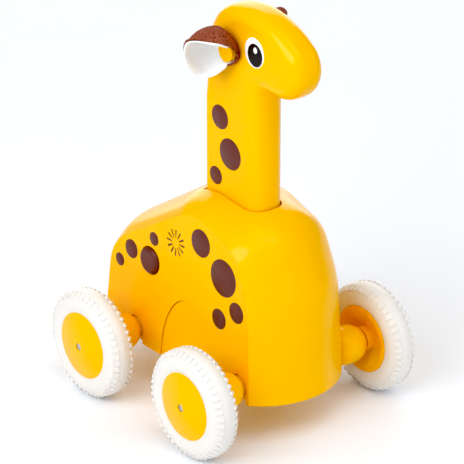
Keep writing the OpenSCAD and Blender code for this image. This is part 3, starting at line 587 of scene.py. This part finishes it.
class TOY_OT_tyres(bpy.types.Operator):
    """Gives the tyres their soft vinyl, with only the lugs' real edges sharp"""
    bl_idname = "toy.tyres"
    bl_label = "Tyres"

    def execute(self, context):
        vinyl = vinyl_moulded_soft("vinyl_moulded_soft_white", context.scene.toy_colours.tyre)
        for end in ENDS:
            for side, _ in SIDES:
                dress_node(f"{end}_tyre_{side}", vinyl, TYRE_EDGE)
        return {"FINISHED"}


# Ears

# Middle of each ear's mouth, in millimetres, as it would be on the right, and how the mouth turns out and nods
EAR_PLACES = {"right": (11.4, -23.0, 196.3), "left": (8.75, -20.95, 196.8)}
EAR_TURN = math.radians(38)
EAR_NOD = math.radians(28)
# Outlines of the bowls, in millimetres across towards the head and up, round from the middle of the top
EAR_BOWLS = {
    "right": ((-0.3, 13.8), (6.2, 14.2), (11.6, 8.8), (13.3, 5.0), (11.8, 0.1), (8.5, -5.9), (2.0, -12.6),
              (-4.6, -13.7), (-10.1, -7.5), (-13.1, -0.3), (-10.5, 6.2), (-6.3, 10.7)),
    "left": ((-0.3, 16.5), (6.2, 15.5), (11.6, 10.1), (13.3, 5.0), (11.8, 0.1), (8.5, -7.9), (2.0, -16.6),
             (-6.6, -17.7), (-13.1, -10.5), (-15.1, 0.4), (-10.5, 8.9), (-6.3, 13.4)),
}
# Outlines of the lips in the same terms, with how far each point stands out of the mouth: the right one opens
# out and runs in under its button, the left one droops
EAR_LIPS = {
    "right": ((-0.3, 13.3, 2.0), (6.2, 11.4, 2.0), (11.6, 6.5, 0.5), (13.4, 1.0, -1.0), (11.8, -2.3, 0.2),
              (8.5, -6.7, 1.4), (2.0, -12.6, 2.0), (-4.6, -13.7, 2.0), (-10.1, -7.5, 2.0), (-13.1, 3.0, 2.0),
              (-12.2, 12.5, 2.0), (-7.9, 14.9, 2.0)),
    "left": ((-0.3, 5.8, 2.0), (6.2, 7.7, 2.0), (11.6, 4.7, 0.5), (13.4, 1.0, -1.0), (11.8, -2.3, 0.2),
             (8.5, -8.7, 1.4), (2.0, -16.6, 2.0), (-6.6, -17.7, 2.0), (-13.1, -10.5, 2.0), (-15.1, -5.5, 2.0),
             (-12.2, 5.0, 2.0), (-7.9, 7.4, 2.0)),
}
# Plane of the head's flat side that the ear is pressed against
EAR_SEAT_Y = -10.1 * MM
# Steps round an ear's mouth, and rows from the bottom of the bowl to the lip
EAR_STEPS = 144
EAR_ROWS = 48
# Share of the way from the bottom of the bowl to the lip where the straight lip starts
LIP_START = 0.92
# How late on that way the bowl's outline turns into the lip's
LIP_BEND = 4
# Room that the two layers take up around the button, the height over which they close in again above it, the
# radius of their bend at its foot and the room for its stem
BUTTON_ROOM = 1.9 * MM
BUTTON_CLOSE = 3 * MM
BUTTON_FILLET = 1.6 * MM
STEM_ROOM = 3.2 * MM
# Distance into that room over which the wall turns from its own height to the height that the button gives it
BUTTON_EASE = 1.5 * MM
# A distance too short to have a direction
TOO_SHORT = 0.001 * MM
# The ear's root: where across the mouth it starts and how fast it sets in
ROOT_START = 9 * MM
ROOT_EASE = 3 * MM
# Share by which the lining is shorter at the root, the turns between which it is, and how fast it gets so
ROOT_DIP = 0.24
ROOT_TURNS = (0.12, 0.42)
ROOT_TURN_EASE = 0.06
# The lee of the ear, low and away from the head: its share in the middle, how much height counts and its width
LEE_SHARE = 0.7
LEE_LEAN = 0.6
LEE_WIDTH = 20 * MM
BUTTON_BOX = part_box("ear_button_right")
# Diameter of the round cut of felt or lining that folds into an ear
FELT_CUT = 42.5 * MM
LINING_CUT = 40.5 * MM
# Size and height of the lumps in the felt, and the way they push it
LUMP_SIZE = 1.6 * MM
LUMP_HEIGHT = 0.14 * MM
LUMP_WAY = Vector((0.5, -0.6, 0.6))
# Gap between the two layers, and the angle in degrees above which a fold shows as an edge
LAYER_GAP = 0.05 * MM
FOLD_EDGE = 80
# One layer of an ear: how far it lies inside the bowl, how far its lip stands out all round, in the lee and at
# the root, and how far the lip opens in the lee
EarLayer = namedtuple("EarLayer", "inset stand lee_stand root_stand flare")


def ear_axes():
    """Directions of the right ear: out of its mouth, up across the mouth, and across it towards the head."""
    turn = Matrix.Rotation(-EAR_TURN, 3, "Z") @ Matrix.Rotation(math.pi / 2 + EAR_NOD, 3, "Y")
    return turn @ Vector((0, 0, 1)), turn @ Vector((-1, 0, 0)), turn @ Vector((0, 1, 0))


def clamped(value):
    """A value kept between 0 and 1."""
    return min(max(value, 0.0), 1.0)


def outline_point(outline, turn):
    """Place on a smooth closed outline, across and up, at a share of the way round."""
    count = len(outline)
    at = turn * count
    i = int(at)
    t = at - i
    before, start, end, after = (Vector(outline[(i + k) % count]) for k in (-1, 0, 1, 2))
    return 0.5 * MM * (2 * start + (end - before) * t + (2 * before - 5 * start + 4 * end - after) * t ** 2
                       + (3 * start - before - 3 * end + after) * t ** 3)


def round_button(point, inset):
    """Leads a point of the ear's wall round the ear button: flat under it, up its side and in above it."""
    low, high = BUTTON_BOX
    middle = (low + high) / 2
    room = (high.x - low.x) / 2 + BUTTON_ROOM - inset
    seat = EAR_SEAT_Y - inset
    top = low.y - BUTTON_ROOM / 2
    away = Vector((point.x - middle.x, 0, point.z - middle.z))
    if away.length >= room or away.length < TOO_SHORT:
        return Vector((point.x, min(point.y, seat), point.z))
    share = clamped((seat - point.y) / (seat - top))
    reach = room
    y = seat + (top - seat) * (2 * share - 1)
    if share < 0.5:
        reach = away.length + (room - away.length) * 2 * share
        y = seat
    elif share == 1:
        reach = room + (away.length - room) * clamped((top - point.y) / BUTTON_CLOSE)
        y = point.y
    y = point.y + (y - point.y) * clamped((room - away.length) / BUTTON_EASE)
    fillet = BUTTON_FILLET - inset
    bend = Vector((reach - room + fillet, y - seat + fillet))
    if min(bend) > 0 and bend.length > fillet:
        bend *= fillet / bend.length
        reach, y = room - fillet + bend.x, seat - fillet + bend.y
    led = away * (reach / away.length)
    return Vector((middle.x + led.x, y, middle.z + led.z))


def ear_point(name, depth, layer, turn, share):
    """Point of an ear's sheet as it would be on the right: turn round the mouth, share from bottom to lip."""
    out, up, across = ear_axes()
    lip = outline_point(EAR_LIPS[name], turn)
    edge = outline_point(EAR_BOWLS[name], turn).lerp(lip.xy, share ** LIP_BEND)
    root = clamped((edge.x - ROOT_START) / ROOT_EASE)
    lee = clamped(LEE_SHARE - (edge.x + LEE_LEAN * edge.y) / LEE_WIDTH)
    rise = max(share - LIP_START, 0.0) / (1 - LIP_START)
    edge *= 1 - (layer.inset - layer.flare * lee * rise ** 3) / edge.length
    bend = min(share / LIP_START, 1.0) * math.pi / 2
    stand = lip.z + layer.stand + layer.lee_stand * lee + layer.root_stand * root
    reach = rise * stand - (depth - layer.inset) * math.cos(bend)
    point = Vector(EAR_PLACES[name]) * MM + out * reach + (up * edge.y + across * edge.x) * math.sin(bend)
    return round_button(point, layer.inset)


def lining_end(turn):
    """Share of the way to the lip where the lining ends: at the ear's root it stops under the button."""
    start, end = ROOT_TURNS
    dip = clamped((turn - start) / ROOT_TURN_EASE) * clamped((end - turn) / ROOT_TURN_EASE)
    return 1 - ROOT_DIP * dip ** 2 * (3 - 2 * dip)


def add_ear(bm, name, side, depth, layer, lumps):
    """One layer of an ear as a single sheet, from the bottom of the bowl to its lip, with a hole for the stem.
    A lining also ends under the button at the ear's root."""
    middle = (BUTTON_BOX[0] + BUTTON_BOX[1]) / 2

    def vertex(turn, share):
        end = lining_end(turn) if layer.inset > 0 else 1
        point = ear_point(name, depth, layer, turn, share * end)
        if point.y < EAR_SEAT_Y - layer.inset - LUMP_SIZE:
            point += LUMP_WAY * (noise.noise(point / LUMP_SIZE) * lumps)
        return bm.verts.new((point.x, -side * point.y, point.z))

    rings = [[vertex(i / EAR_STEPS, j / EAR_ROWS) for i in range(EAR_STEPS)]
             for j in range(1, EAR_ROWS + 1)]
    join_rings(bm, rings)
    tip = vertex(0.0, 0.0)
    for i in range(EAR_STEPS):
        bm.faces.new((rings[0][i], rings[0][(i + 1) % EAR_STEPS], tip))
    holed = [f for f in bm.faces if any(math.hypot(v.co.x - middle.x, v.co.z - middle.z) < STEM_ROOM
                                        and abs(v.co.y) < -BUTTON_BOX[0].y for v in f.verts)]
    bmesh.ops.delete(bm, geom=holed, context="FACES")


def thicken(obj, thickness):
    """Gives a sheet its thickness, inwards from the face it is drawn on."""
    solid = obj.modifiers.new("Thickness", "SOLIDIFY")
    solid.thickness = thickness
    solid.offset = -1


class TOY_OT_ears(bpy.types.Operator):
    """Folds the two soft ears: an outer felt and a pale lining in each"""
    bl_idname = "toy.ears"
    bl_label = "Soft ears"

    def execute(self, context):
        sizes = context.scene.toy_sizes
        colours = context.scene.toy_colours
        felt = felt_pressed("felt_pressed_brown", colours.felt, fibre=0.8 * MM, spread=0.6, depth=0.3 * MM)
        pile = felt_pressed("felt_brushed_white", colours.lining, fibre=1.1 * MM, spread=0.05, depth=0.12 * MM)
        inner = sizes.felt_thickness + LAYER_GAP
        outer_layer = EarLayer(inset=0.0, stand=-0.1 * MM, lee_stand=-1.6 * MM, root_stand=0.8 * MM, flare=0.0)
        inner_layer = EarLayer(inset=inner, stand=0.4 * MM, lee_stand=-0.4 * MM, root_stand=0.0,
                               flare=inner - 0.1 * MM)
        layers = (("ear_felt", felt, "brown_felt", outer_layer, LUMP_HEIGHT, sizes.felt_thickness, FELT_CUT),
                  ("ear_lining", pile, "white_lining", inner_layer, 0.0, sizes.lining_thickness, LINING_CUT))
        for name, side in SIDES:
            depth = sizes.ear_depth if side < 0 else sizes.drooped_depth
            for piece, material, slot, layer, lumps, thickness, cut in layers:
                mesh = mesh_from(piece, lambda bm: add_ear(bm, name, side, depth, layer, lumps), FOLD_EDGE)
                sheet = new_piece(f"{piece}_soft_{name}", mesh, material, "head_neck",
                                  [f"{piece}_{name}"])
                thicken(sheet, thickness)
        return {"FINISHED"}


# Axles and works

# The return spring: turns, radius to the wire's middle, forward place, pitch of the end turns, and steps in a
# turn and round the wire
COILS = 9
COIL_RADIUS = 5.8 * MM
COIL_X = 14 * MM
COIL_END_PITCH = 1.9 * MM
COIL_STEPS = 28
WIRE_STEPS = 10


def add_coil(bm, wire):
    """The return spring: one round wire in open coils, closed up at both ends."""
    low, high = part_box("return_spring")
    bottom = low.z + wire / 2
    span = high.z - low.z - wire
    pitch = (span - 2 * COIL_END_PITCH) / (COILS - 2)
    rings = []
    for i in range(COILS * COIL_STEPS + 1):
        turns = i / COIL_STEPS
        if turns < 1:
            z = turns * COIL_END_PITCH
        elif turns > COILS - 1:
            z = span - (COILS - turns) * COIL_END_PITCH
        else:
            z = COIL_END_PITCH + (turns - 1) * pitch
        out = Vector((math.cos(2 * math.pi * turns), math.sin(2 * math.pi * turns), 0))
        centre = Vector((COIL_X, 0, bottom + z)) + out * COIL_RADIUS
        rings.append([bm.verts.new(centre + wire / 2 * (out * c + Vector((0, 0, s))))
                      for c, s in around(WIRE_STEPS)])
    join_rings(bm, rings)
    bm.faces.new(rings[0])
    bm.faces.new(rings[-1])


class TOY_OT_works(bpy.types.Operator):
    """Gives the axles, gears, rack, clutch and screws their steel and nylon, and winds the return spring"""
    bl_idname = "toy.works"
    bl_label = "Axles and works"

    def execute(self, context):
        colours = context.scene.toy_colours
        steel = steel_drawn("steel_drawn_bright", colours.steel)
        nylon = nylon_moulded("nylon_moulded_natural", colours.nylon)
        for name in ("rear_axle", "front_axle", "pinion_pin", "clutch_rollers", "chassis_screws",
                     "neck_foot_screws"):
            dress_node(name, steel)
        for name in ("neck_foot", "drive_rack", "pinion_gear", "drive_gear", "clutch_cap"):
            dress_node(name, nylon)
        wire = context.scene.toy_sizes.coil_wire
        mesh = mesh_from("coil", lambda bm: add_coil(bm, wire))
        coil = new_piece("coil", mesh, steel, "body", ["return_spring"])
        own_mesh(coil)
        return {"FINISHED"}


# Floor, light and camera

AZIMUTH = math.radians(50.97)
ELEVATION = math.radians(25.46)
CAMERA_DISTANCE = 1.706
# Focal length in pixels of the photograph's 464-pixel frame
FOCAL_PIXELS = 3270
FRAME_PIXELS = 464
# Where the camera aims, as a distance up its own picture from the origin
AIM_UP = 81.35 * MM
# Levels that the picture shows as black and as white, for the photograph's deep colours on a white ground
TONE_BLACK = 0.044
TONE_WHITE = 0.82
# The soft lights: place, width and height in metres and power in watts, and the point that they all face
LIGHTS = {
    "key_softbox": ((0.16, -0.93, 0.78), 1.0, 0.75, 7.1),
    "top_softbox": ((0.5, -0.1, 1.4), 1.0, 1.0, 4.6),
    "front_fill": ((1.6, 0.6, 0.9), 2.4, 2.4, 7.0),
    "back_sweep": ((-1.2, 1.0, 0.5), 1.6, 1.6, 13.0),
}
LIGHT_AIM = Vector((0, 0, 0.1))
# Strength of the white surroundings, and half the side of the floor
SURROUND = 0.33
FLOOR_HALF = 4.0


def camera_axes():
    """The camera's right, up and back directions."""
    back = Vector((math.sin(AZIMUTH) * math.cos(ELEVATION), -math.cos(AZIMUTH) * math.cos(ELEVATION),
                   math.sin(ELEVATION)))
    right = Vector((0, 0, 1)).cross(back).normalized()
    return right, back.cross(right), back


def add_light(name, place, width, height, power):
    """A soft oblong light that faces the toy."""
    data = bpy.data.lights.new(name, "AREA")
    data.shape = "RECTANGLE"
    data.size = width
    data.size_y = height
    data.energy = power
    light = bpy.data.objects.new(name, data)
    bpy.context.scene.collection.objects.link(light)
    light.location = place
    light.rotation_euler = (LIGHT_AIM - Vector(place)).to_track_quat("-Z", "Y").to_euler()


def set_tone(scene):
    """Sets the levels that the picture shows as black and as white."""
    scene.view_settings.view_transform = "Standard"
    scene.view_settings.use_curve_mapping = True
    tone = scene.view_settings.curve_mapping
    tone.black_level = (TONE_BLACK,) * 3
    tone.white_level = (TONE_WHITE,) * 3
    tone.update()


def add_camera(scene):
    """The camera, where the photograph was taken from."""
    right, up, back = camera_axes()
    data = bpy.data.cameras.new("photo_camera")
    data.lens = FOCAL_PIXELS / FRAME_PIXELS * data.sensor_width
    camera = bpy.data.objects.new("photo_camera", data)
    scene.collection.objects.link(camera)
    camera.location = up * AIM_UP + back * CAMERA_DISTANCE
    camera.rotation_euler = Matrix((right, up, back)).transposed().to_euler()
    scene.camera = camera


class TOY_OT_stage(bpy.types.Operator):
    """Lays the pale floor and sets the soft light and the camera"""
    bl_idname = "toy.stage"
    bl_label = "Stage"

    def execute(self, context):
        scene = context.scene
        corners = ((-1, -1), (1, -1), (1, 1), (-1, 1))
        mesh = mesh_from("floor", lambda bm: bm.faces.new(
            [bm.verts.new((x * FLOOR_HALF, y * FLOOR_HALF, 0)) for x, y in corners]))
        floor = link_object("floor", mesh, paper_sweep("paper_matt_white", scene.toy_colours.floor))
        world = bpy.data.worlds.new("studio")
        scene.world = world
        world.use_nodes = True
        backdrop = world.node_tree.nodes["Background"]
        backdrop.inputs["Color"].default_value = (1.0, 1.0, 1.0, 1.0)
        backdrop.inputs["Strength"].default_value = SURROUND
        for name, (place, width, height, power) in LIGHTS.items():
            add_light(name, place, width, height, power)
        set_tone(scene)
        add_camera(scene)
        return {"FINISHED"}


class TOY_PT_panel(bpy.types.Panel):
    """Lists the steps that dress the toy, with its sizes and colours"""
    bl_idname = "TOY_PT_panel"
    bl_label = "Press and go toy"
    bl_space_type = "VIEW_3D"
    bl_region_type = "UI"
    bl_category = "Toy"

    def draw(self, context):
        for operator in OPERATORS:
            self.layout.operator(operator.bl_idname)
        for group in (context.scene.toy_sizes, context.scene.toy_colours):
            column = self.layout.column()
            for name in group.__annotations__:
                column.prop(group, name)


OPERATORS = (TOY_OT_stage, TOY_OT_shell, TOY_OT_prints, TOY_OT_eyes, TOY_OT_squeaker, TOY_OT_tyres, TOY_OT_ears,
             TOY_OT_works)
CLASSES = (ToySizes, ToyColours, TOY_PT_panel) + OPERATORS


def register():
    """Registers the classes and hangs the two groups of properties on the scene."""
    for cls in CLASSES:
        bpy.utils.register_class(cls)
    bpy.types.Scene.toy_sizes = bpy.props.PointerProperty(type=ToySizes)
    bpy.types.Scene.toy_colours = bpy.props.PointerProperty(type=ToyColours)


def unregister():
    """Takes the two groups of properties off the scene and drops the classes."""
    del bpy.types.Scene.toy_colours
    del bpy.types.Scene.toy_sizes
    for cls in reversed(CLASSES):
        bpy.utils.unregister_class(cls)


def main():
    """Runs every step in order."""
    register()
    bpy.ops.toy.stage()
    bpy.ops.toy.shell()
    bpy.ops.toy.prints()
    bpy.ops.toy.eyes()
    bpy.ops.toy.squeaker()
    bpy.ops.toy.tyres()
    bpy.ops.toy.ears()
    bpy.ops.toy.works()


if __name__ == "__main__":
    main()
